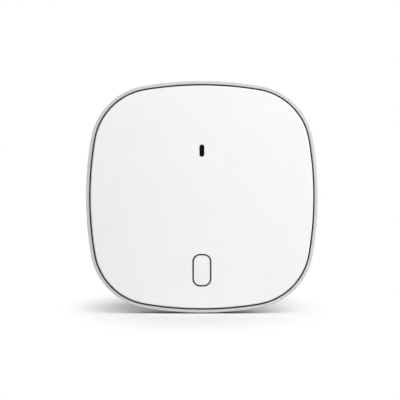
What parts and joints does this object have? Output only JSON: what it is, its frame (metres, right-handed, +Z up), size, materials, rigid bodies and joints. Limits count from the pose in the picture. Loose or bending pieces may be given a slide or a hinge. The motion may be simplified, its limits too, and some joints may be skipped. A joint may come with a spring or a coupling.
{
  "type": "garage door controller",
  "caption": "Flat rounded-square garage door controller hub with a press button, a status light slit, a bottom power socket and a slide-on wall bracket.",
  "frame": {"origin": "centre of the wall bracket's back face, in the plane of the wall", "axes": "+Z up the wall, +X to the right as seen from the front, +Y into the wall; the front face looks along -Y"},
  "size_m": [0.075, 0.0211, 0.075],
  "materials": {
    "cover_plastic": "moulded white plastic, fine satin gloss",
    "button_plastic": "moulded white plastic, fine satin gloss",
    "housing_plastic": "moulded light grey plastic, fine spark texture",
    "bracket_plastic": "moulded grey plastic, rubbed by the hub's channel",
    "gasket_rubber": "black silicone cord",
    "lens_plastic": "smoked black acrylic, polished",
    "clear_plastic": "clear moulded acrylic",
    "lamp_resin": "cast lamp resin",
    "screw_steel": "zinc plated steel",
    "tinned_steel": "tin plated sheet",
    "board_laminate": "green solder mask on glass laminate",
    "black_plastic": "black moulded plastic",
    "plunger_plastic": "ivory moulded plastic",
    "gold_plate": "gold plated contact",
    "sounder_brass": "rolled brass disc",
    "coil_wire": "enamelled copper wire",
    "chip_resin": "moulded epoxy",
    "ferrite": "ground ferrite",
    "can_aluminium": "drawn aluminium can",
    "capacitor_ceramic": "fired ceramic"
  },
  "bodies": {
    "bracket": {"wall_bracket": "bracket_plastic"},
    "hub": {"rear_housing": "housing_plastic", "front_cover": "cover_plastic", "seam_gasket": "gasket_rubber", "case_screws": "screw_steel", "main_board": "board_laminate", "switch_base": "black_plastic", "switch_plate": "tinned_steel", "switch_leads": "tinned_steel", "led_lens": "lens_plastic", "light_pipe": "clear_plastic", "status_leds": "lamp_resin", "socket_shell": "tinned_steel", "socket_tongue": "black_plastic", "socket_contacts": "gold_plate", "sounder_case": "black_plastic", "sounder_disc": "sounder_brass", "sounder_pins": "tinned_steel", "radio_board": "board_laminate", "radio_shield": "tinned_steel", "radio_chip": "chip_resin", "trace_antenna": "gold_plate", "coil_antenna": "coil_wire", "processor_chip": "chip_resin", "door_radio_chip": "chip_resin", "memory_chip": "chip_resin", "memory_leads": "tinned_steel", "crystal": "tinned_steel", "regulator_body": "chip_resin", "regulator_leads": "tinned_steel", "power_inductor": "ferrite", "capacitor_cans": "can_aluminium", "capacitor_bases": "black_plastic", "chip_capacitors": "capacitor_ceramic", "chip_resistors": "chip_resin"},
    "button": {"button_cap": "button_plastic"},
    "plunger": {"switch_plunger": "plunger_plastic"}
  },
  "joints": [
    {"name": "hub_slide", "type": "slide", "parent": "bracket", "child": "hub", "axis": [0, 0, 1], "range_m": [0, 0.052]},
    {"name": "button_press", "type": "slide", "parent": "hub", "child": "button", "axis": [0, 1, 0], "range_m": [0, 0.0005], "stiffness_N_per_m": 2000},
    {"name": "plunger_press", "type": "slide", "parent": "hub", "child": "plunger", "axis": [0, 1, 0], "range_m": [0, 0.0005]}
  ],
  "couplings": [
    {"joint": "plunger_press", "follows": "button_press", "ratio": 1}
  ]
}
